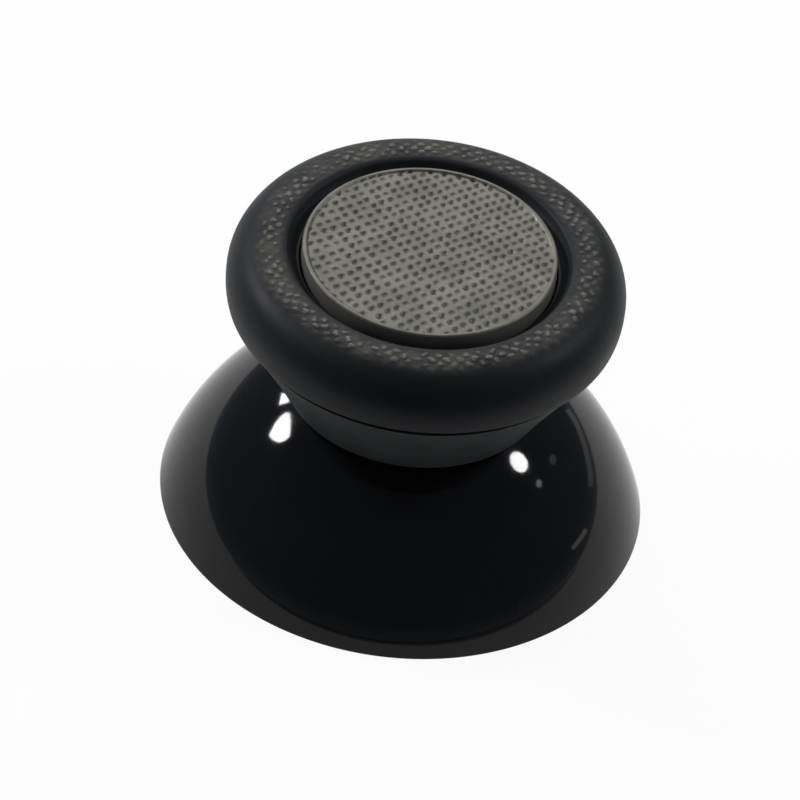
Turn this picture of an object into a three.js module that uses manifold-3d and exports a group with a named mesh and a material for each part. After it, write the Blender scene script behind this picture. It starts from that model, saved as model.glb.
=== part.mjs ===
// Thumb grip of a game controller's analogue stick, in millimetres, +Z up.
// The origin is on the stick's axis, in the plane of the skirt's rim.
import * as THREE from 'three';
import { mergeGeometries, mergeVertices } from 'three/addons/utils/BufferGeometryUtils.js';
import Module from 'manifold-3d';

// Skirt: a glossy dome with a neck and a stem above it and a keyed socket boss below
const rimRadius = 10.6;
const domeCentreDrop = 3.3;
const skirtWall = 1.0;
const neckRadius = 5.45;
const neckStep = 0.36;
const stemRadius = 3.0;
const bossRadius = 3.2;
const bossRecess = 1.4;
const socketRadius = 2.02;
const socketFlats = 3.2;
const socketDepth = 7.8;

// Head cup: the flared underside of the head, seated on the skirt's neck
const cupFootOverhang = 0.27;
const cupFootHeight = 0.3;
const cupLipSetback = 0.05;
const cupHeight = 4.02;
const cupBulge = 0.08;
const stemClearance = 0.1;

// Grip ring: a round rim seated on the cup, with a knurled band on its crown
const ringSectionRadius = 1.84;
const ringSectionHeight = 1.45;
const ringUnderBulge = 0.11;
const crownInset = 0.68;
const seamGap = 0.2;
const seamDepth = 0.45;
const grooveWidth = 0.6;
const grooveDepth = 0.7;
const grooveSlope = 0.3;
const ledgeWidth = 1.1;
const bandInset = 0.15;
const bandWidth = 1.5;
const knurlDepth = 0.18;
const knurlPitch = 0.74;
const knurlRows = 4;

// Centre pad: a pitted disc that lies in the ring's pocket
const padRadius = 5.5;
const padThickness = 1.5;
const padProud = 0.06;
const padEdgeRound = 0.16;
const padClearance = 0.08;
const padSmoothRim = 0.32;
const pitPitch = 0.45;
const pitWidth = 0.34;
const pitDepth = 0.16;
const pitTurn = THREE.MathUtils.degToRad(38);

// Fineness of the round surfaces
const skirtSides = 72;
const headSides = 96;
const arcStep = THREE.MathUtils.degToRad(9);
const flareSteps = 6;
const mergeDistance = 1e-5;

// Heights and radii that follow from the sizes above
const domeRadius = Math.hypot(rimRadius, domeCentreDrop);
const neckTop = Math.sqrt(domeRadius ** 2 - neckRadius ** 2) - domeCentreDrop + neckStep;
const roofHeight = neckTop - skirtWall;
const cupFootRadius = neckRadius + cupFootOverhang;
const cupTop = neckTop + cupHeight;
const seamTop = cupTop + seamGap;
const grooveRadius = padRadius + grooveWidth;
const ringCentreRadius = grooveRadius + crownInset;
const ringCentreHeight = cupTop + ringSectionHeight;
const ringUnderRadius = ringSectionRadius + ringUnderBulge;
const seamAngle = Math.asin((seamTop - ringCentreHeight) / ringUnderRadius);
const cupLipRadius = ringCentreRadius + ringSectionRadius * Math.cos(seamAngle) - cupLipSetback;
const ringCrown = ringCentreHeight + ringSectionRadius;
const knurlCells = Math.round(2 * Math.PI * ringCentreRadius / knurlPitch);
const grooveFloor = ringCrown - grooveDepth;
const padTop = ringCrown + padProud;
const padSeat = padTop - padThickness;
const pocketRadius = padRadius + padClearance;

const wasm = await Module();
wasm.setup();

const point = (radius, height) => new THREE.Vector2(radius, height);

// Even steps from one angle to another, with both ends
function arcAngles(from, to) {
  const count = Math.max(2, Math.ceil(Math.abs(to - from) / arcStep));
  return Array.from({ length: count + 1 }, (_, i) => from + (to - from) * i / count);
}

function arcPoints(centreRadius, centreHeight, arcRadius, from, to) {
  return arcAngles(from, to).map((angle) => point(
    centreRadius + arcRadius * Math.cos(angle),
    centreHeight + arcRadius * Math.sin(angle),
  ));
}

// A profile of radius and height, closed on itself and turned about Z
function turned(profile, sides) {
  return new THREE.LatheGeometry([...profile, profile[0].clone()], sides).rotateX(Math.PI / 2);
}

// Shared vertices only, without the flat triangles that a profile leaves on the axis
function welded(geometry) {
  const bare = geometry.clone();
  bare.deleteAttribute('normal');
  bare.deleteAttribute('uv');
  const merged = mergeVertices(bare, mergeDistance);
  const corners = [];
  for (let i = 0; i < merged.index.count; i += 3) {
    const [a, b, c] = [0, 1, 2].map((k) => merged.index.getX(i + k));
    if (a !== b && b !== c && c !== a) {
      corners.push(a, b, c);
    }
  }
  merged.setIndex(corners);
  return merged;
}

function toSolid(geometry) {
  const merged = welded(geometry);
  return new wasm.Manifold(new wasm.Mesh({
    numProp: 3,
    vertProperties: Float32Array.from(merged.attributes.position.array),
    triVerts: Uint32Array.from(merged.index.array),
  }));
}

function toGeometry(solid) {
  const { vertProperties, triVerts } = solid.getMesh();
  const geometry = new THREE.BufferGeometry();
  geometry.setAttribute('position', new THREE.BufferAttribute(vertProperties, 3));
  geometry.setIndex(new THREE.BufferAttribute(triVerts, 1));
  geometry.computeVertexNormals();
  return geometry;
}

// The double-D hole that the stick's shaft is pushed into
function socketShape() {
  const flatAngle = Math.asin(socketFlats / 2 / socketRadius);
  const outline = new THREE.Shape();
  outline.absarc(0, 0, socketRadius, -flatAngle, flatAngle, false);
  outline.absarc(0, 0, socketRadius, Math.PI - flatAngle, Math.PI + flatAngle, false);
  return new THREE.ExtrudeGeometry(outline, {
    depth: bossRecess + socketDepth,
    bevelEnabled: false,
    curveSegments: 10,
  });
}

// The dome's shell, with the neck and stem that carry the head and the boss below them
function skirtShape() {
  const cavityRadius = domeRadius - skirtWall;
  const rimAngle = Math.asin(domeCentreDrop / domeRadius);
  const profile = [
    ...arcPoints(0, -domeCentreDrop, domeRadius, rimAngle, Math.acos(neckRadius / domeRadius)),
    point(neckRadius, neckTop),
    point(stemRadius, neckTop),
    point(stemRadius, padSeat),
    point(0, padSeat),
    point(0, bossRecess),
    point(bossRadius, bossRecess),
    point(bossRadius, roofHeight),
    ...arcPoints(
      0,
      -domeCentreDrop,
      cavityRadius,
      Math.asin((roofHeight + domeCentreDrop) / cavityRadius),
      Math.asin(domeCentreDrop / cavityRadius),
    ),
  ];
  return toGeometry(toSolid(turned(profile, skirtSides)).subtract(toSolid(socketShape())));
}

// A short upright foot, then a slightly rounded flare up to the seam under the ring
function cupShape() {
  const bore = stemRadius + stemClearance;
  const foot = point(cupFootRadius, neckTop + cupFootHeight);
  const lip = point(cupLipRadius, cupTop);
  const along = lip.clone().sub(foot).normalize();
  const outward = point(along.y, -along.x);
  const control = foot.clone().lerp(lip, 0.5).addScaledVector(outward, 2 * cupBulge);
  const flare = new THREE.QuadraticBezierCurve(foot, control, lip).getPoints(flareSteps);
  return welded(turned([
    point(bore, neckTop),
    point(cupFootRadius, neckTop),
    ...flare,
    point(bore, cupTop),
  ], skirtSides));
}

// A circle of points about Z, two to each diamond of the knurl
function circleRow(placeAt) {
  const count = 2 * knurlCells;
  return Array.from({ length: count }, (_, i) => {
    const angle = 2 * Math.PI * i / count;
    const { x: radius, y: height } = placeAt(i);
    return new THREE.Vector3(radius * Math.cos(angle), radius * Math.sin(angle), height);
  });
}

// Triangles between two neighbouring circles.
// Four points with high and low corners are split along the low ones, so each peak is a pyramid.
function bandTriangles(lower, upper) {
  return lower.flatMap((corner, i) => {
    const next = (i + 1) % lower.length;
    if (lower[next].z + upper[i].z <= corner.z + upper[next].z) {
      return [corner, lower[next], upper[i], lower[next], upper[next], upper[i]];
    }
    return [corner, lower[next], upper[next], corner, upper[next], upper[i]];
  });
}

// The round rim: circles up its section, with a band cut into diamonds that deepen inwards
function ringShape() {
  const sectionPoint = (angle, sink) => point(
    ringCentreRadius + (ringSectionRadius - sink) * Math.cos(angle),
    ringCentreHeight + (angle < 0 ? ringUnderRadius : ringSectionRadius - sink) * Math.sin(angle),
  );
  const angleAt = (radius) => Math.acos((radius - ringCentreRadius) / ringSectionRadius);
  const bandEnd = angleAt(grooveRadius + bandInset);
  const bandStart = angleAt(grooveRadius + bandInset + bandWidth);
  const seamRadius = cupLipRadius - seamDepth;
  const ledgeRadius = padRadius - ledgeWidth;
  const plain = (place) => circleRow(() => place);
  const band = Array.from({ length: knurlRows + 1 }, (_, j) => {
    const angle = bandStart + (bandEnd - bandStart) * j / knurlRows;
    const depth = knurlDepth * (j + 1) / (knurlRows + 1);
    return circleRow((i) => sectionPoint(angle, (i + j) % 2 === 0 ? 0 : depth));
  });
  const rows = [
    plain(point(ledgeRadius, cupTop)),
    plain(point(seamRadius, cupTop)),
    plain(point(seamRadius, seamTop)),
    ...arcAngles(seamAngle, bandStart).slice(0, -1).map((angle) => plain(sectionPoint(angle, 0))),
    ...band,
    plain(sectionPoint(angleAt(grooveRadius), 0)),
    plain(point(grooveRadius - grooveSlope, grooveFloor)),
    plain(point(pocketRadius, grooveFloor)),
    plain(point(pocketRadius, padSeat)),
    plain(point(ledgeRadius, padSeat)),
  ];
  const triangles = rows.flatMap((row, k) => bandTriangles(row, rows[(k + 1) % rows.length]));
  return welded(new THREE.BufferGeometry().setFromPoints(triangles));
}

// One pit: a square pyramid with its point down, as far above the pad as into it
function pitShape(x, y) {
  const cutter = new THREE.ConeGeometry(pitWidth * Math.SQRT2, 2 * pitDepth, 4, 1, false, Math.PI / 4);
  return cutter.rotateX(-Math.PI / 2).translate(x, y, padTop);
}

function padShape() {
  const edge = arcPoints(padRadius - padEdgeRound, padTop - padEdgeRound, padEdgeRound, 0, Math.PI / 2);
  const disc = turned([point(0, padSeat), point(padRadius, padSeat), ...edge, point(0, padTop)], headSides);
  const fieldRadius = padRadius - padEdgeRound - padSmoothRim;
  const reach = Math.ceil(fieldRadius / pitPitch);
  const pits = [];
  for (let column = -reach; column <= reach; column += 1) {
    for (let row = -reach; row <= reach; row += 1) {
      const [x, y] = [column * pitPitch, row * pitPitch];
      if (Math.hypot(x, y) + pitWidth / Math.SQRT2 < fieldRadius) {
        pits.push(pitShape(x, y));
      }
    }
  }
  return toGeometry(toSolid(disc).subtract(toSolid(mergeGeometries(pits).rotateZ(pitTurn))));
}

function piece(name, geometry, material) {
  const mesh = new THREE.Mesh(geometry, new THREE.MeshStandardMaterial(material));
  mesh.name = name;
  return mesh;
}

const thumbGrip = new THREE.Group();
thumbGrip.add(
  piece('dome_skirt', skirtShape(), { color: 0x0c0c0d, roughness: 0.1, metalness: 0 }),
  piece('head_cup', cupShape(), { color: 0x26282a, roughness: 0.45, metalness: 0 }),
  piece('grip_ring', ringShape(), { color: 0x242628, roughness: 0.5, metalness: 0 }),
  piece('centre_pad', padShape(), { color: 0x6a6a6b, roughness: 0.45, metalness: 0 }),
);

export default thumbGrip;
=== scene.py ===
# Looks for a controller thumb grip: a gloss dome, a satin head with a knurled crown, a pitted grey pad
import bpy
import math
import random
from mathutils import Matrix, Vector


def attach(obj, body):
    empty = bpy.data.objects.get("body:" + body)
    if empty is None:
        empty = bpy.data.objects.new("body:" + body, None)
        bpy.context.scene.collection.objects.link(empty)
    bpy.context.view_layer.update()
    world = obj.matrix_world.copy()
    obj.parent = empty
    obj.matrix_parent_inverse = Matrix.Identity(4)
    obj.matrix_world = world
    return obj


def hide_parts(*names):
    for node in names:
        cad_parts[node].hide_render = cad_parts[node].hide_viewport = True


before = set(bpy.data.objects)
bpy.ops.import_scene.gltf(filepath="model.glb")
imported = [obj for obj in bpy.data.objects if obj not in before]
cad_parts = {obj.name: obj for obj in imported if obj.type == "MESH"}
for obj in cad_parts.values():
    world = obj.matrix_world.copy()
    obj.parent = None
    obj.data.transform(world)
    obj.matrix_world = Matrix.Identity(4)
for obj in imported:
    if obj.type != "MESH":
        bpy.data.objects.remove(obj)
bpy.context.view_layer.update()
mm = 0.001
fullTurn = 2 * math.pi
sharpAngle = math.radians(40)  # edges that turn by more than this stay crisp


def srgb(hexColour):  # a colour as it looks on screen, turned to the linear one that shaders use
    parts = [int(hexColour[i:i + 2], 16) / 255 for i in (0, 2, 4)]
    return (*[p / 12.92 if p <= 0.04045 else ((p + 0.055) / 1.055) ** 2.4 for p in parts], 1.0)


def patternScale(size):  # the scale of a pattern whose waves, grains or gaps are this many mm wide
    return 1 / (size * mm)


def addNode(tree, kind, settings=None, links=None):
    node = tree.nodes.new(kind)
    for name, value in (settings or {}).items():  # a name that starts small is the node's own setting
        if isinstance(name, str) and name[0].islower():
            setattr(node, name, value)
        else:
            node.inputs[name].default_value = value
    for name, source in (links or {}).items():
        tree.links.new(source, node.inputs[name])
    return node


def newMaterial(name):
    material = bpy.data.materials.new(name)
    material.use_nodes = True
    material.node_tree.nodes.clear()
    return material, material.node_tree


def smoothStep(low, high, value):
    t = min(1.0, max(0.0, (value - low) / (high - low)))
    return t * t * (3 - 2 * t)


# Corners are (radius, height, rounding) in mm. A corner with a rounding becomes a small arc, which takes
# less than half of the line on each side of it.
def roundedProfile(corners, arcPoints=6):
    profile = []
    count = len(corners)
    for i, (r, z, rounding) in enumerate(corners):
        here = Vector((r, z))
        if not rounding:
            profile.append((r, z))
            continue
        before = Vector(corners[i - 1][:2]) - here
        after = Vector(corners[(i + 1) % count][:2]) - here
        halfAngle = before.angle(after) / 2
        reach = min(rounding / math.tan(halfAngle), 0.45 * before.length, 0.45 * after.length)
        start = here + before.normalized() * reach
        end = here + after.normalized() * reach
        for k in range(arcPoints + 1):
            t = k / arcPoints
            p = start * (1 - t) ** 2 + here * (2 * t * (1 - t)) + end * t ** 2
            profile.append((p.x, p.y))
    return profile


def arcCorners(centreR, centreZ, radius, fromAngle, toAngle, count):
    angles = [fromAngle + (toAngle - fromAngle) * i / count for i in range(count + 1)]
    return [(centreR + radius * math.cos(a), centreZ + radius * math.sin(a), 0) for a in angles]


def meshObject(name, points, faces):
    mesh = bpy.data.meshes.new(name)
    mesh.from_pydata([Vector(p) * mm for p in points], [], faces)
    mesh.validate()
    mesh.shade_smooth()
    piece = bpy.data.objects.new(name, mesh)
    bpy.context.scene.collection.objects.link(piece)
    return piece


# Quads between rows of points round the axis. The last row joins the first, so the skin is closed.
def rowFaces(rowCount, sides):
    faces = []
    for j in range(rowCount):
        low, high = j * sides, (j + 1) % rowCount * sides
        for i in range(sides):
            k = (i + 1) % sides
            faces.append((low + i, low + k, high + k, high + i))
    return faces


def addFloat(piece, name, values):
    layer = piece.data.attributes.new(name, "FLOAT", "POINT")
    layer.data.foreach_set("value", values)


def dress(piece, node, material):
    piece.data.materials.append(material)
    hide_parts(node)
    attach(piece, "root")


# Dome: one moulding with its neck, stem, boss and double-D socket. All sizes here and below are in mm.
dome = {
    "rimRadius": 10.58, "centreDrop": 3.3, "wall": 1.0, "rimRounding": 0.09, "roofRounding": 0.15,
    "neckRadius": 5.0, "neckTop": 6.73, "neckFillet": 0.12, "filletStop": 0.06,
    "stemRadius": 3.0, "stemTop": 12.6, "axisHole": 0.02,
    "bossRadius": 3.2, "bossRecess": 1.4, "bossLand": 0.35,
    "socketRadius": 2.02, "socketFlats": 3.2, "socketTop": 9.2, "socketLeadIn": 0.22,
    "sides": 288, "outsideSteps": 44, "insideSteps": 30, "filletSteps": 8,
    "sinkWave": 3.85, "hairlineGap": 0.111, "handlingMark": 2.38,
    "darkTone": "0d0e10", "paleTone": "121316", "roughness": 0.055,
    "ior": 1.28,  # below the 1.5 of ABS, since what it mirrors here is a floor of pure white
}


def polishedBlackAbs():
    # ABS moulded in a mirror-polished tool: deep black, with sharp reflections that swim a little
    # where the wall shrank, and faint hairlines from handling
    material, tree = newMaterial("polishedBlackAbs")
    place = addNode(tree, "ShaderNodeTexCoord")
    swim = addNode(tree, "ShaderNodeTexNoise",
                   {"Scale": patternScale(dome["sinkWave"]), "Detail": 1.0, "Roughness": 0.4},
                   {"Vector": place.outputs["Object"]})
    drawnOut = addNode(tree, "ShaderNodeMapping", {"Rotation": (0.3, 0.2, 0.9), "Scale": (1.0, 0.06, 1.0)},
                       {"Vector": place.outputs["Object"]})  # so that specks become lines
    hairlines = addNode(tree, "ShaderNodeTexNoise",
                        {"Scale": patternScale(dome["hairlineGap"]), "Detail": 3.0, "Roughness": 0.6},
                        {"Vector": drawnOut.outputs["Vector"]})
    handling = addNode(tree, "ShaderNodeTexNoise",
                       {"Scale": patternScale(dome["handlingMark"]), "Detail": 3.0, "Roughness": 0.55},
                       {"Vector": place.outputs["Object"]})
    smear = addNode(tree, "ShaderNodeMapRange",
                    {"From Min": 0.35, "From Max": 0.75,
                     "To Min": dome["roughness"] * 0.8, "To Max": dome["roughness"] * 1.5},
                    {"Value": handling.outputs["Fac"]})
    tone = addNode(tree, "ShaderNodeValToRGB", None, {"Fac": handling.outputs["Fac"]})
    tone.color_ramp.elements[0].color = srgb(dome["darkTone"])
    tone.color_ramp.elements[1].color = srgb(dome["paleTone"])
    waves = addNode(tree, "ShaderNodeBump", {"Strength": 0.05, "Distance": 0.02 * mm},
                    {"Height": swim.outputs["Fac"]})
    lines = addNode(tree, "ShaderNodeBump", {"Strength": 0.04, "Distance": 0.002 * mm},
                    {"Height": hairlines.outputs["Fac"], "Normal": waves.outputs["Normal"]})
    shader = addNode(tree, "ShaderNodeBsdfPrincipled", {"IOR": dome["ior"]},
                     {"Base Color": tone.outputs["Color"], "Roughness": smear.outputs["Result"],
                      "Normal": lines.outputs["Normal"]})
    addNode(tree, "ShaderNodeOutputMaterial", None, {"Surface": shader.outputs["BSDF"]})
    return material


def makeDome():
    d = dome
    outer = math.hypot(d["rimRadius"], d["centreDrop"])
    inner = outer - d["wall"]
    roof = d["neckTop"] - d["wall"]
    rimAngle = math.asin(d["centreDrop"] / outer)
    neckAngle = math.acos((d["neckRadius"] + d["neckFillet"]) / outer)
    roofAngle = math.asin((roof + d["centreDrop"]) / inner)
    innerRimAngle = math.asin(d["centreDrop"] / inner)
    outside = arcCorners(0, -d["centreDrop"], outer, rimAngle, neckAngle, d["outsideSteps"])
    inside = arcCorners(0, -d["centreDrop"], inner, roofAngle, innerRimAngle, d["insideSteps"])
    outside[0] = (*outside[0][:2], d["rimRounding"])
    start = outside[-1][:2]
    corner = (d["neckRadius"], math.sqrt(outer ** 2 - d["neckRadius"] ** 2) - d["centreDrop"])
    for k in range(1, d["filletSteps"] + 1):
        t = k / d["filletSteps"]
        radius = start[0] * (1 - t) ** 2 + corner[0] * (1 - (1 - t) ** 2)
        height = (start[1] * (1 - t) ** 2 + corner[1] * 2 * t * (1 - t)
                  + (d["neckTop"] - d["filletStop"]) * t ** 2)
        outside.append((radius, height, 0))
    socketMouth = (d["bossRadius"] - d["bossLand"], d["bossRecess"])
    inside[0] = (*inside[0][:2], d["roofRounding"])
    inside[-1] = (*inside[-1][:2], d["rimRounding"])
    body = roundedProfile([
        *outside,
        (d["neckRadius"], d["neckTop"], 0.05),
        (d["stemRadius"], d["neckTop"], 0.15),
        (d["stemRadius"], d["stemTop"], 0.1),
        (d["axisHole"], d["stemTop"], 0),
        (d["axisHole"], d["socketTop"], 0),
        (*socketMouth, 0),
        (d["bossRadius"], d["bossRecess"], 0.12),
        (d["bossRadius"], roof, 0.3),
        *inside,
    ])
    angles = [fullTurn * i / d["sides"] for i in range(d["sides"])]
    flatAngle = math.asin(d["socketFlats"] / 2 / d["socketRadius"])
    for corner in (flatAngle, math.pi - flatAngle, math.pi + flatAngle, fullTurn - flatAngle):
        nearest = min(range(d["sides"]), key=lambda i: abs(angles[i] - corner))
        angles[nearest] = corner  # so that the socket's four corners are sharp

    def socketReach(angle, ease):
        flat = (d["socketFlats"] / 2 + ease) / max(abs(math.sin(angle)), 1e-6)
        return min(d["socketRadius"] + ease, flat)

    leadIn, mouth = d["socketLeadIn"], d["bossRecess"]
    socketRows = [(0, d["socketTop"]), (0, d["socketTop"] - 0.3), (0, 5.0), (0, mouth + leadIn),
                  (leadIn * 0.4, mouth + leadIn * 0.4), (leadIn, mouth)]
    rows = []
    for r, z in body:
        if (r, z) == socketMouth:  # the socket's rows, from its end down, come before the boss's face
            rows += [[(socketReach(a, ease), height) for a in angles] for ease, height in socketRows]
        else:
            rows.append([(r, z)] * d["sides"])
    points = [(r * math.cos(a), r * math.sin(a), z) for row in rows for (r, z), a in zip(row, angles)]
    piece = meshObject("domeShell", points, rowFaces(len(rows), d["sides"]))
    piece.data.set_sharp_from_angle(angle=sharpAngle)
    dress(piece, "dome_skirt", polishedBlackAbs())
    print("dome made:", len(piece.data.polygons), "faces")


# Cup: the flared underside of the head
cup = {
    "bore": 3.1, "foot": 6.73, "footRadius": 5.72,
    "lipRadius": 8.14, "lipTop": 10.79, "lipInside": 7.75, "top": 10.75,
    "bulge": -0.05, "flareSteps": 20, "sides": 240,
    "colour": "2b2e2f", "roughness": 0.5, "ior": 1.35,
}
# Ring: the round rim that the thumb pushes on
ring = {
    "centreRadius": 6.78, "centreHeight": 12.2, "section": 1.84, "underSection": 1.95, "underFullness": 2.6,
    "base": 10.75, "seamTop": 11.28, "seamRoof": 10.97, "seamEave": 8.03, "seamRadius": 7.69,
    "ledgeRadius": 4.4, "padSeat": 12.6, "pocketRadius": 5.58,
    "grooveRadius": 6.1, "grooveFloor": 13.34, "grooveFoot": 5.68, "shoulderStop": 0.03, "shoulderRows": 3,
    "shoulderRoll": [(0.01, 0.05), (0.08, 0.17)],  # inwards and down from the shoulder's inner corner
    "bandInner": 6.22, "bandOuter": 7.75, "bandRows": 46, "bandFadeOuter": 0.55, "bandFadeInner": 0.3,
    "knurlCells": 70, "knurlRows": 5.2, "knurlDepth": 0.06, "pointsPerCell": 12, "sectionSteps": 26,
    # a stroke of the knurl, as shares of a cell: across it from its flat top to its foot, and along it
    "strokeAcross": (0.06, 0.34), "strokeAlong": (0.3, 0.5),
    # the crown colour paints the crown paler in patches, partly rub wear and partly painted sheen; the worn
    # colour paints the knurl tops, partly wear and partly painted highlight
    "colour": "191b1e", "crownWearAndSheenColour": "3f3f3a", "wornAndGlintColour": "6a6b65", "roughness": 0.5,
    "ior": 1.23,  # lower than the plastic's own, for the same reason as the dome's
}
# The texture that the tool left on both, as widths. The grain is a little coarser than real, so that it shows.
# the rubbed patch breaks up the crown's paler colour, which is partly rub wear and partly painted sheen
moulding = {"grain": 0.0714, "handlingMark": 2.0, "rubbedAndSheenPatch": 1.11}


def satinMoulded(name, colour, roughness, ior, crownWearAndSheen=None, wornAndGlint=None):
    # Soft-touch black moulded in a spark-eroded tool: even satin, a fine grain that breaks up highlights,
    # and on the crown a paler colour in patches, partly rub wear and partly painted sheen, with paler, smoother
    # knurl tops that are partly wear where thumbs rub and partly painted highlight
    material, tree = newMaterial(name)
    place = addNode(tree, "ShaderNodeTexCoord")
    grain = addNode(tree, "ShaderNodeTexNoise",
                    {"Scale": patternScale(moulding["grain"]), "Detail": 2.0, "Roughness": 0.6},
                    {"Vector": place.outputs["Object"]})
    cloud = addNode(tree, "ShaderNodeTexNoise",
                    {"Scale": patternScale(moulding["handlingMark"]), "Detail": 3.0, "Roughness": 0.6},
                    {"Vector": place.outputs["Object"]})
    tone = addNode(tree, "ShaderNodeValToRGB", None, {"Fac": cloud.outputs["Fac"]})
    tone.color_ramp.elements[0].position = 0.3
    tone.color_ramp.elements[1].position = 0.7
    tone.color_ramp.elements[0].color = tuple(c * 0.88 for c in srgb(colour)[:3]) + (1.0,)
    tone.color_ramp.elements[1].color = tuple(c * 1.12 for c in srgb(colour)[:3]) + (1.0,)
    colourOut = tone.outputs["Color"]
    rough = addNode(tree, "ShaderNodeMapRange",
                    {"From Min": 0.3, "From Max": 0.7, "To Min": roughness - 0.04, "To Max": roughness + 0.05},
                    {"Value": cloud.outputs["Fac"]})
    roughOut = rough.outputs["Result"]
    if crownWearAndSheen:
        raised = addNode(tree, "ShaderNodeAttribute", {"attribute_name": "raised"})
        patch = addNode(tree, "ShaderNodeTexNoise",
                        {"Scale": patternScale(moulding["rubbedAndSheenPatch"]), "Detail": 3.0, "Roughness": 0.6},
                        {"Vector": place.outputs["Object"]})
        crownSheenZone = addNode(tree, "ShaderNodeMapRange", {"From Min": 0.0, "From Max": 0.3},
                       {"Value": raised.outputs["Fac"]})
        uneven = addNode(tree, "ShaderNodeMapRange", {"From Min": 0.35, "From Max": 0.65, "To Min": 0.1},
                         {"Value": patch.outputs["Fac"]})
        rubbedAndSheen = addNode(tree, "ShaderNodeMath", {"operation": "MULTIPLY"},
                         {0: crownSheenZone.outputs["Result"], 1: uneven.outputs["Result"]})
        # painted sheen on the crown, paler in patches, partly rub wear
        colourOut = addNode(tree, "ShaderNodeMix", {"data_type": "RGBA", 7: srgb(crownWearAndSheen)},
                            {"Factor": rubbedAndSheen.outputs[0], 6: colourOut}).outputs[2]
        wornAndGlintTops = addNode(tree, "ShaderNodeMapRange", {"From Min": 0.4, "From Max": 1.0},
                       {"Value": raised.outputs["Fac"]})
        # paler knurl tops: rub wear and painted highlight
        colourOut = addNode(tree, "ShaderNodeMix", {"data_type": "RGBA", 7: srgb(wornAndGlint)},
                            {"Factor": wornAndGlintTops.outputs["Result"], 6: colourOut}).outputs[2]
        roughOut = addNode(tree, "ShaderNodeMath", {"operation": "MULTIPLY_ADD", 1: -0.16},
                           {0: wornAndGlintTops.outputs["Result"], 2: roughOut}).outputs[0]
    bump = addNode(tree, "ShaderNodeBump", {"Strength": 0.25, "Distance": 0.012 * mm},
                   {"Height": grain.outputs["Fac"]})
    shader = addNode(tree, "ShaderNodeBsdfPrincipled", {"IOR": ior},
                     {"Base Color": colourOut, "Roughness": roughOut, "Normal": bump.outputs["Normal"]})
    addNode(tree, "ShaderNodeOutputMaterial", None, {"Surface": shader.outputs["BSDF"]})
    return material


def makeCup():
    c = cup
    foot = Vector((c["footRadius"], c["foot"]))
    lip = Vector((c["lipRadius"], c["lipTop"]))
    along = (lip - foot).normalized()
    control = (foot + lip) / 2 + Vector((along.y, -along.x)) * 2 * c["bulge"]
    flare = []
    for k in range(1, c["flareSteps"]):
        t = k / c["flareSteps"]
        p = foot * (1 - t) ** 2 + control * (2 * t * (1 - t)) + lip * t ** 2
        flare.append((p.x, p.y, 0))
    profile = roundedProfile([
        (c["bore"], c["foot"], 0.05),
        (foot.x, foot.y, 0.08),
        *flare,
        (lip.x, lip.y, 0.05),
        (c["lipInside"], c["lipTop"], 0.02),
        (c["lipInside"], c["top"], 0),
        (c["bore"], c["top"], 0.05),
    ])
    sides = c["sides"]
    points = [(r * math.cos(fullTurn * i / sides), r * math.sin(fullTurn * i / sides), z)
              for r, z in profile for i in range(sides)]
    piece = meshObject("headCup", points, rowFaces(len(profile), sides))
    piece.data.set_sharp_from_angle(angle=sharpAngle)
    dress(piece, "head_cup", satinMoulded("satinBlackAbs", c["colour"], c["roughness"], c["ior"]))
    print("cup made:", len(piece.data.polygons), "faces")


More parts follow.
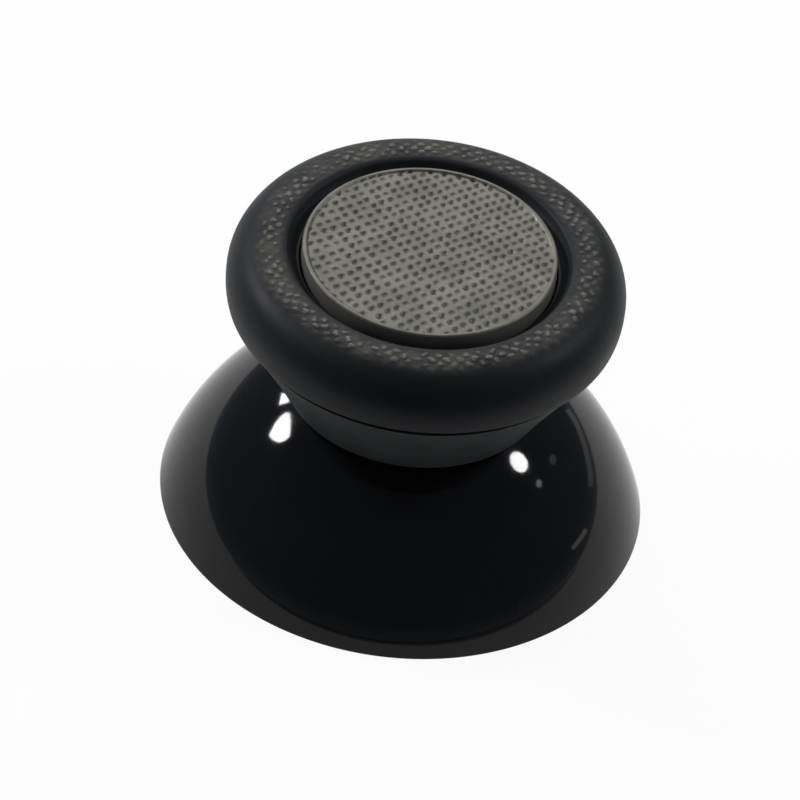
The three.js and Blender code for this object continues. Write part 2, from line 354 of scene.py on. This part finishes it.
def makeRing():
    g = ring
    random.seed(11)
    angleAt = lambda radius: math.acos((radius - g["centreRadius"]) / g["section"])
    swell = 2 / g["underFullness"]  # below its widest point the section is fuller than a circle
    seamAngle = -math.asin(((g["centreHeight"] - g["seamTop"]) / g["underSection"]) ** (1 / swell))
    bandStart, bandEnd = angleAt(g["bandOuter"]), angleAt(g["bandInner"])
    grooveAngle = angleAt(g["grooveRadius"])
    sides = g["knurlCells"] * g["pointsPerCell"]
    strokes = {}

    def stroke(key):  # no two strokes of the knurl stand as high, and some have all but gone
        if key not in strokes:
            strokes[key] = smoothStep(0.0, 1.0, random.random())
        return strokes[key]

    def strokeRise(across, along):
        crest, foot = g["strokeAcross"]
        full, end = g["strokeAlong"]
        return smoothStep(foot, crest, across) * smoothStep(end, full, along)

    def knurl(u, w):  # short raised strokes that cross on the diagonals; 1 on top of one, 0 beside it
        p, q = u + w, u - w
        a, b = round(p), round(q)
        place = ((a + b) % (2 * g["knurlCells"]), a - b)
        alongP = strokeRise(abs(q - b), abs(p - a)) * stroke((place, "p", p > a))
        alongQ = strokeRise(abs(p - a), abs(q - b)) * stroke((place, "q", q > b))
        return max(alongP, alongQ)

    outer = []
    for k in range(g["sectionSteps"]):
        a = seamAngle + (bandStart - seamAngle) * k / g["sectionSteps"]
        if a < 0:
            outer.append((g["centreRadius"] + g["section"] * math.cos(a) ** swell,
                          g["centreHeight"] - g["underSection"] * (-math.sin(a)) ** swell, 0))
        else:
            outer.append((g["centreRadius"] + g["section"] * math.cos(a),
                          g["centreHeight"] + g["section"] * math.sin(a), 0))
    outer[0] = (*outer[0][:2], 0.07)
    innerCorner = (g["grooveRadius"], g["centreHeight"] + g["section"] * math.sin(grooveAngle))
    before = roundedProfile([
        (g["grooveFoot"], g["grooveFloor"], 0.06),
        (g["pocketRadius"], g["grooveFloor"], 0.03),
        (g["pocketRadius"], g["padSeat"], 0.05),
        (g["ledgeRadius"], g["padSeat"], 0.05),
        (g["ledgeRadius"], g["base"], 0.05),
        (g["seamRadius"], g["base"], 0.04),
        (g["seamRadius"], g["seamRoof"], 0.04),
        (g["seamEave"], g["seamRoof"] + 0.01, 0.05),
        *outer,
    ], 3)
    rows = [[(r, z, 0.0)] * sides for r, z in before]
    for j in range(g["bandRows"] + 1):
        t = j / g["bandRows"]
        a = bandStart + (bandEnd - bandStart) * t
        fade = smoothStep(0.0, g["bandFadeOuter"], t) * smoothStep(0.0, g["bandFadeInner"], 1 - t)
        row = []
        for i in range(sides):
            rise = knurl(i / g["pointsPerCell"], t * g["knurlRows"] / 2)
            reach = g["section"] - g["knurlDepth"] * (1 - rise) * fade
            raisedBy = (0.3 + 0.7 * rise) * fade  # 0.3 between the strokes, where the thumb rubs a little too; this also sets the crown's painted sheen and the paler tops, which are partly painted highlight
            row.append((g["centreRadius"] + reach * math.cos(a), g["centreHeight"] + reach * math.sin(a),
                        raisedBy))
        rows.append(row)
    for k in range(1, g["shoulderRows"] + 1):  # the smooth shoulder inside the band, down to the groove
        a = bandEnd + (grooveAngle - g["shoulderStop"] - bandEnd) * k / g["shoulderRows"]
        rows.append([(g["centreRadius"] + g["section"] * math.cos(a),
                      g["centreHeight"] + g["section"] * math.sin(a), 0.0)] * sides)
    for inwards, down in g["shoulderRoll"]:
        rows.append([(innerCorner[0] - inwards, innerCorner[1] - down, 0.0)] * sides)
    points, raised = [], []
    for row in rows:
        for i, (r, z, height) in enumerate(row):
            a = fullTurn * i / sides
            points.append((r * math.cos(a), r * math.sin(a), z))
            raised.append(height)
    piece = meshObject("gripRing", points, rowFaces(len(rows), sides))
    addFloat(piece, "raised", raised)
    material = satinMoulded("softTouchBlack", g["colour"], g["roughness"], g["ior"],
                            g["crownWearAndSheenColour"], g["wornAndGlintColour"])
    dress(piece, "grip_ring", material)
    print("ring made:", len(piece.data.polygons), "faces")


# Pad: the pitted disc in the middle
pad = {
    "radius": 5.5, "top": 14.1, "seat": 12.6, "edgeRound": 0.09, "edgeSteps": 5, "sideChamfer": 0.05,
    "lipWidth": 0.24, "lipHeight": 0.02, "lipSlope": (-0.02, 0.06), "fall": 0.045, "grid": 276,
    "pitPitch": 0.452, "pitReach": 0.18, "pitFloor": 0.02, "pitDepth": 0.085, "pitTurn": math.radians(39),
    "pitSquareness": 3.2,  # 2 makes the pits round, and more makes them squarer
    "pitShift": 0.1, "shallowest": 0.45,  # how far a pit strays, as a share of the pitch, and its least depth
    "crowding": 0.012, "crowdTowards": (0.64, 0.77),  # how much closer the pits get per mm, and which way
    "lacquerEnds": (0.015, 0.08), "flake": 0.0909, "sprayCloud": 1.43,
    # the pit colour is painted shade in the pits
    "darkTone": "54534e", "paleTone": "686660", "pitShadeColour": "3a3a37", "sideColour": "6e6c67",
    "roughness": 0.45, "metallic": 0.85, "bareMetallic": 0.1,
}


def satinMetallicPaint():
    # Plastic pressed with pits and given a silver-grey metallic lacquer: soft sheen on the ridges, flake
    # that varies from cell to cell, and a darker colour in the pits that is painted shade
    material, tree = newMaterial("satinMetallicPaint")
    place = addNode(tree, "ShaderNodeTexCoord")
    flake = addNode(tree, "ShaderNodeTexNoise",
                    {"Scale": patternScale(pad["flake"]), "Detail": 2.0, "Roughness": 0.7},
                    {"Vector": place.outputs["Object"]})  # real flake is finer, and wouldn't show
    cloud = addNode(tree, "ShaderNodeTexNoise",
                    {"Scale": patternScale(pad["sprayCloud"]), "Detail": 2.0, "Roughness": 0.5},
                    {"Vector": place.outputs["Object"]})
    blend = addNode(tree, "ShaderNodeMath", {"operation": "MULTIPLY_ADD", 1: 0.6},
                    {0: flake.outputs["Fac"], 2: cloud.outputs["Fac"]})
    tone = addNode(tree, "ShaderNodeValToRGB", None, {"Fac": blend.outputs[0]})
    tone.color_ramp.elements[0].position = 0.55
    tone.color_ramp.elements[1].position = 1.05
    tone.color_ramp.elements[0].color = srgb(pad["darkTone"])
    tone.color_ramp.elements[1].color = srgb(pad["paleTone"])
    sunk = addNode(tree, "ShaderNodeAttribute", {"attribute_name": "sunk"})
    # painted shade: the pits take a darker colour
    pitShadeMask = addNode(tree, "ShaderNodeMapRange",
                   {"From Min": 0.25, "From Max": 0.8, "interpolation_type": "SMOOTHSTEP"},
                   {"Value": sunk.outputs["Fac"]})
    colour = addNode(tree, "ShaderNodeMix", {"data_type": "RGBA", 7: srgb(pad["pitShadeColour"])},
                     {"Factor": pitShadeMask.outputs["Result"], 6: tone.outputs["Color"]})
    bare = addNode(tree, "ShaderNodeAttribute", {"attribute_name": "bare"})
    colour = addNode(tree, "ShaderNodeMix", {"data_type": "RGBA", 7: srgb(pad["sideColour"])},
                     {"Factor": bare.outputs["Fac"], 6: colour.outputs[2]})
    rough = addNode(tree, "ShaderNodeMapRange",
                    {"From Min": 0.3, "From Max": 0.7,
                     "To Min": pad["roughness"] - 0.05, "To Max": pad["roughness"] + 0.07},
                    {"Value": flake.outputs["Fac"]})
    bump = addNode(tree, "ShaderNodeBump", {"Strength": 0.3, "Distance": 0.015 * mm},
                   {"Height": flake.outputs["Fac"]})
    pitShadeAndBare = addNode(tree, "ShaderNodeMath", {"operation": "MAXIMUM"},
                        {0: pitShadeMask.outputs["Result"], 1: bare.outputs["Fac"]})
    metal = addNode(tree, "ShaderNodeMapRange", {"To Min": pad["metallic"], "To Max": pad["bareMetallic"]},
                    {"Value": pitShadeAndBare.outputs[0]})  # less metallic in the pits, where the painted shade is, and bare plastic on the side where the lacquer stops
    shader = addNode(tree, "ShaderNodeBsdfPrincipled", None,
                     {"Base Color": colour.outputs[2], "Roughness": rough.outputs["Result"],
                      "Metallic": metal.outputs["Result"], "Normal": bump.outputs["Normal"]})
    addNode(tree, "ShaderNodeOutputMaterial", None, {"Surface": shader.outputs["BSDF"]})
    return material


def makePad():
    p = pad
    random.seed(5)
    n = p["grid"]
    flatRadius = p["radius"] - p["edgeRound"]
    fieldRadius = p["radius"] - p["lipWidth"]
    cosTurn, sinTurn = math.cos(p["pitTurn"]), math.sin(p["pitTurn"])
    cells = {}

    def pitAt(x, y):  # 0 on the ridges, 1 at the bottom of a pit
        a = (x * cosTurn + y * sinTurn) / p["pitPitch"]
        b = (-x * sinTurn + y * cosTurn) / p["pitPitch"]
        key = (round(a), round(b))
        shift, power = p["pitShift"], p["pitSquareness"]
        if key not in cells:
            cells[key] = (random.uniform(-shift, shift), random.uniform(-shift, shift),
                          random.uniform(p["shallowest"], 1.0))
        shiftA, shiftB, depth = cells[key]
        offA, offB = abs(a - key[0] - shiftA), abs(b - key[1] - shiftB)
        away = (offA ** power + offB ** power) ** (1 / power) * p["pitPitch"]
        return depth * smoothStep(p["pitReach"], p["pitFloor"], away)

    def onDisc(s, t):  # a square laid on a disc, so that the grid is even from the middle to the edge
        if s == 0 and t == 0:
            return 0.0, 0.0
        if abs(s) > abs(t):
            radius, angle = s, math.pi / 4 * t / s
        else:
            radius, angle = t, math.pi / 2 - math.pi / 4 * s / t
        return radius * math.cos(angle), radius * math.sin(angle)

    points, sunk, bare = [], [], []
    for j in range(n + 1):
        for i in range(n + 1):
            x, y = onDisc(2 * i / n - 1, 2 * j / n - 1)
            x, y = x * flatRadius, y * flatRadius
            r = math.hypot(x, y)
            lip = smoothStep(fieldRadius + p["lipSlope"][0], fieldRadius + p["lipSlope"][1], r)
            finer = 1 + p["crowding"] * (p["crowdTowards"][0] * x + p["crowdTowards"][1] * y)
            pit = pitAt(x * finer, y * finer) * (1 - lip)
            # the field lies below the lip and is slightly domed
            drop = (p["lipHeight"] + p["fall"] * (r / fieldRadius) ** 2) * (1 - lip)
            points.append((x, y, p["top"] - drop - p["pitDepth"] * pit))
            sunk.append(pit)
            bare.append(0.0)
    at = lambda i, j: j * (n + 1) + i
    faces = [(at(i, j), at(i + 1, j), at(i + 1, j + 1), at(i, j + 1)) for j in range(n) for i in range(n)]
    border = [at(i, 0) for i in range(n)] + [at(n, j) for j in range(n)]
    border += [at(i, n) for i in range(n, 0, -1)] + [at(0, j) for j in range(n, 0, -1)]
    edge = [(flatRadius + p["edgeRound"] * math.sin(a), p["top"] - p["edgeRound"] * (1 - math.cos(a)))
            for a in [math.pi / 2 * k / p["edgeSteps"] for k in range(1, p["edgeSteps"] + 1)]]
    edge += [(p["radius"], p["seat"] + p["sideChamfer"]), (p["radius"] - p["sideChamfer"], p["seat"])]
    previous = border
    for r, z in edge:
        first = len(points)
        for k in border:
            x, y = points[k][:2]
            scale = r / math.hypot(x, y)
            points.append((x * scale, y * scale, z))
            sunk.append(0.0)
            bare.append(smoothStep(*p["lacquerEnds"], p["top"] - z))  # the lacquer stops on the rounded edge
        current = list(range(first, first + len(border)))
        for k in range(len(border)):
            m = (k + 1) % len(border)
            faces.append((previous[k], current[k], current[m], previous[m]))
        previous = current
    points.append((0, 0, p["seat"]))
    sunk.append(0.0)
    bare.append(1.0)
    for k in range(len(border)):
        faces.append((previous[k], len(points) - 1, previous[(k + 1) % len(border)]))
    piece = meshObject("centrePad", points, faces)
    piece.data.set_sharp_from_angle(angle=math.radians(60))
    addFloat(piece, "sunk", sunk)
    addFloat(piece, "bare", bare)
    dress(piece, "centre_pad", satinMetallicPaint())
    print("pad made:", len(piece.data.polygons), "faces")


# Studio: one big white floor, flagged lamps, a soft panel behind, and in front, out of the picture, a
# glowing grey-to-black card, painted shade that stands in for a shaded floor, for the gloss dome to mirror
studio = {
    "floorRadius": 1500.0, "floorSides": 96, "floorDrop": 0.01,
    "floorWhite": 0.93,  # the share of plain white in what is seen of it; the rest is its shading
    # how bright the room is at a height, from 0 at the horizon to 1 overhead
    "room": [(0.0, 0.34), (0.06, 0.22), (0.14, 0.15), (0.55, 0.16), (0.75, 0.13), (0.9, 0.11)],
    "roomTint": (0.93, 1.0, 1.1),
    "panels": [
        {"name": "backPanel", "direction": (-0.13, 0.79, 0.58), "aimHeight": 8.0,
         "distance": 400.0, "width": 370.0, "power": 0.86},
    ],
    # a lamp's outline is as seen from its "from" point: degrees round from straight back, and degrees up
    "lamps": [
        {"name": "leftLamp", "from": (-5.4, -3.0, 5.9), "brightness": 56.0,
         "outline": [(-70.5, 30.3), (-68.2, 30.8), (-64.4, 31.5), (-61.1, 32.9), (-59.5, 34.4), (-60.0, 36.3),
                     (-64.7, 38.4), (-70.8, 39.9), (-74.4, 40.2), (-76.1, 38.5), (-76.3, 35.8), (-74.0, 32.9)]},
        {"name": "leftLampSliver", "from": (-5.5, -1.7, 6.2), "brightness": 56.0,
         "outline": [(-55.0, 29.1), (-51.4, 27.8), (-48.9, 26.5), (-49.4, 28.3), (-51.6, 31.1), (-53.8, 33.0)]},
        {"name": "rightLamp", "from": (4.9, -3.7, 6.0), "brightness": 56.0,
         "outline": [(76.9, 38.3), (79.0, 40.6), (78.9, 43.3), (76.3, 45.2), (72.3, 45.6),
                     (68.8, 44.0), (67.3, 41.5), (67.9, 39.1), (70.4, 37.3), (73.6, 37.1)]},
        {"name": "rightLampSpot", "from": (5.9, -4.0, 5.2), "brightness": 5.0,
         "outline": [(77.0, 29.7), (79.2, 30.1), (80.4, 31.5), (79.2, 32.6), (76.8, 32.2), (75.7, 30.7)]},
        {"name": "rightLampEcho", "from": (6.4, -2.6, 5.4), "brightness": 1.0,
         "outline": [(61.5, 22.4), (64.4, 23.7), (65.6, 25.8), (63.8, 26.6), (60.9, 25.2), (59.8, 23.1)]},
        {"name": "paleSill", "from": (7.6, -0.8, 4.8), "brightness": 0.75,
         "outline": [(37.2, 6.6), (40.3, 5.5), (45.0, 5.3), (50.5, 5.4), (55.6, 5.0), (61.1, 5.1), (59.0, 2.4),
                     (53.5, 2.0), (48.3, 2.3), (42.8, 1.9), (38.1, 1.8), (35.1, 2.8)]},
        {"name": "paleSillEnd", "from": (7.9, -4.7, 2.9), "brightness": 1.6,
         "outline": [(85.6, 4.4), (80.3, 3.2), (74.2, 1.8), (75.3, 3.9), (81.3, 5.2), (86.6, 6.3)]},
    ],
    "lampDistance": 300.0,
    "shadeStandInCard": [(-220.0, -64.5), (220.0, 20.0), (220.0, -400.0), (-220.0, -400.0)], "cardHeight": 0.2,
    "cardNear": (-20.0, 0.38), "cardFar": (-52.0, 0.03),  # where its grey starts and ends, and how bright
    "aim": (-0.513, 2.68, 3.01), "cameraElevation": 41.72, "cameraRoll": 7.01, "cameraDistance": 400.0,
    "lens": 411.0, "sensorWidth": 36.0,
}


def lampGlow(strength):
    material, tree = newMaterial("lampGlow")
    glow = addNode(tree, "ShaderNodeEmission", {"Color": (1.0, 1.0, 1.0, 1.0), "Strength": strength})
    addNode(tree, "ShaderNodeOutputMaterial", None, {"Surface": glow.outputs[0]})
    return material


def glowingShadeCard():
    # Glowing card that runs from mid grey beside the object to black further out, unseen by the camera: painted
    # shade that stands in for a shaded floor in reflections
    material, tree = newMaterial("glowingShadeCard")
    place = addNode(tree, "ShaderNodeTexCoord")
    split = addNode(tree, "ShaderNodeSeparateXYZ", None, {0: place.outputs["Object"]})
    (near, nearGrey), (far, farGrey) = studio["cardNear"], studio["cardFar"]
    grey = addNode(tree, "ShaderNodeMapRange",
                   {"From Min": near * mm, "From Max": far * mm, "To Min": nearGrey, "To Max": farGrey},
                   {"Value": split.outputs["Y"]})
    shader = addNode(tree, "ShaderNodeEmission", {"Color": (1.0, 1.0, 1.0, 1.0)},
                     {"Strength": grey.outputs["Result"]})
    addNode(tree, "ShaderNodeOutputMaterial", None, {"Surface": shader.outputs[0]})
    return material


def whiteFloorPaper():
    # Matt white paper that the camera and the reflections see as plain white, with part of its real
    # shading left in so that the shadow stays
    material, tree = newMaterial("whiteFloorPaper")
    rays = addNode(tree, "ShaderNodeLightPath")
    seen = addNode(tree, "ShaderNodeMath", {"operation": "ADD"},
                   {0: rays.outputs["Is Camera Ray"], 1: rays.outputs["Is Glossy Ray"]})
    seen = addNode(tree, "ShaderNodeMath", {"operation": "ADD", "use_clamp": True},
                   {0: seen.outputs[0], 1: rays.outputs["Is Transmission Ray"]})
    share = addNode(tree, "ShaderNodeMath", {"operation": "MULTIPLY", 1: studio["floorWhite"]},
                    {0: seen.outputs[0]})
    paper = addNode(tree, "ShaderNodeBsdfDiffuse", {"Color": (0.9, 0.9, 0.9, 1.0)})
    white = addNode(tree, "ShaderNodeEmission", {"Color": (1, 1, 1, 1), "Strength": 1.0})
    mixed = addNode(tree, "ShaderNodeMixShader", None,
                    {0: share.outputs[0], 1: paper.outputs[0], 2: white.outputs[0]})
    addNode(tree, "ShaderNodeOutputMaterial", None, {"Surface": mixed.outputs[0]})
    return material


def makeStudio():
    s = studio
    bearings = [fullTurn * i / s["floorSides"] for i in range(s["floorSides"])]
    rim = [(s["floorRadius"] * math.cos(a), s["floorRadius"] * math.sin(a), -s["floorDrop"]) for a in bearings]
    floor = meshObject("floor", rim, [tuple(range(len(rim)))])
    floor.data.materials.append(whiteFloorPaper())

    world = bpy.data.worlds.new("darkRoom")
    bpy.context.scene.world = world
    world.use_nodes = True
    place = addNode(world.node_tree, "ShaderNodeTexCoord")
    height = addNode(world.node_tree, "ShaderNodeSeparateXYZ", None, {0: place.outputs["Generated"]})
    room = addNode(world.node_tree, "ShaderNodeValToRGB", None, {"Fac": height.outputs["Z"]})
    for i, (level, tone) in enumerate(s["room"]):
        step = room.color_ramp.elements[i] if i < 2 else room.color_ramp.elements.new(level)
        step.position = level
        step.color = (*[tone * part for part in s["roomTint"]], 1.0)
    world.node_tree.links.new(room.outputs["Color"], world.node_tree.nodes["Background"].inputs["Color"])

    # painted shade: a glowing card that the camera doesn't see and that casts no shadow, standing in for a
    # shaded floor in front
    card = meshObject("shadeStandInCard", [(x, y, s["cardHeight"]) for x, y in s["shadeStandInCard"]], [(0, 1, 2, 3)])
    card.data.materials.append(glowingShadeCard())
    card.visible_camera = False
    card.visible_shadow = False
    for lamp in s["lamps"]:
        points = []
        for bearing, height in lamp["outline"]:
            b, h = math.radians(bearing), math.radians(height)
            out = Vector((math.sin(b) * math.cos(h), math.cos(b) * math.cos(h), math.sin(h)))
            points.append(Vector(lamp["from"]) + out * s["lampDistance"])
        shape = meshObject(lamp["name"], points, [tuple(range(len(points)))])
        shape.data.materials.append(lampGlow(lamp["brightness"]))
        shape.visible_camera = False
    for lamp in s["panels"]:
        data = bpy.data.lights.new(lamp["name"], "AREA")
        data.shape = "DISK"
        data.size = lamp["width"] * mm
        data.energy = lamp["power"]
        light = bpy.data.objects.new(lamp["name"], data)
        bpy.context.scene.collection.objects.link(light)
        direction = Vector(lamp["direction"]).normalized()
        light.location = (direction * lamp["distance"] + Vector((0, 0, lamp["aimHeight"]))) * mm
        light.rotation_euler = direction.to_track_quat("Z", "Y").to_euler()

    elevation, roll = math.radians(s["cameraElevation"]), math.radians(s["cameraRoll"])
    back = Vector((0, -math.cos(elevation), math.sin(elevation)))
    level, upright = Vector((1, 0, 0)), Vector((0, math.sin(elevation), math.cos(elevation)))
    right = level * math.cos(roll) + upright * math.sin(roll)
    up = upright * math.cos(roll) - level * math.sin(roll)
    data = bpy.data.cameras.new("camera")
    data.lens = s["lens"]
    data.sensor_width = s["sensorWidth"]
    data.clip_start, data.clip_end = 0.01, 10.0
    camera = bpy.data.objects.new("camera", data)
    bpy.context.scene.collection.objects.link(camera)
    turn = Matrix((right, up, back)).transposed().to_4x4()
    camera.matrix_world = Matrix.Translation(Vector(s["aim"]) * mm + back * s["cameraDistance"] * mm) @ turn
    bpy.context.scene.camera = camera
    print("studio made")


makeStudio()
makeDome()
makeCup()
makeRing()
makePad()
bpy.context.scene.view_settings.view_transform = "Standard"
